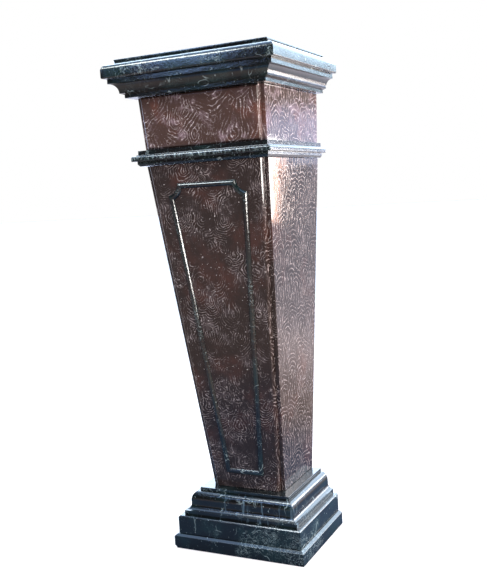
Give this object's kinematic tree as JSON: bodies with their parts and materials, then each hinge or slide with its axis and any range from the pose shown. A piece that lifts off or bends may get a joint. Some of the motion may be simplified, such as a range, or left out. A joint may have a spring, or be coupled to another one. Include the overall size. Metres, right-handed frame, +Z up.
{
  "type": "tapered marble pedestal",
  "caption": "Tapered square marble pedestal with a flat back, a stepped dark base, a neck moulding, a frieze, a moulded cap and a raised frame on its front.",
  "frame": {"origin": "on the ground, under the middle of the whole object's width and depth", "axes": "+Z up, the framed front faces -Y, the flat back faces +Y, +X to the right seen from the front"},
  "size_m": [0.4, 0.35, 1.1078],
  "materials": {
    "dark_marble": "polished near-black green marble with pale grey-green veins",
    "red_marble": "polished brown-red marble with dense pale pink swirls"
  },
  "bodies": {
    "root": {"lower_plinth": "dark_marble", "upper_plinth": "dark_marble", "base_moulding": "dark_marble", "shaft_seat_slab": "dark_marble", "shaft": "red_marble", "front_panel_frame": "dark_marble", "neck_moulding": "dark_marble", "frieze_block": "red_marble", "cap_moulding": "dark_marble", "top_slab": "dark_marble", "top_plate": "dark_marble"}
  },
  "joints": []
}
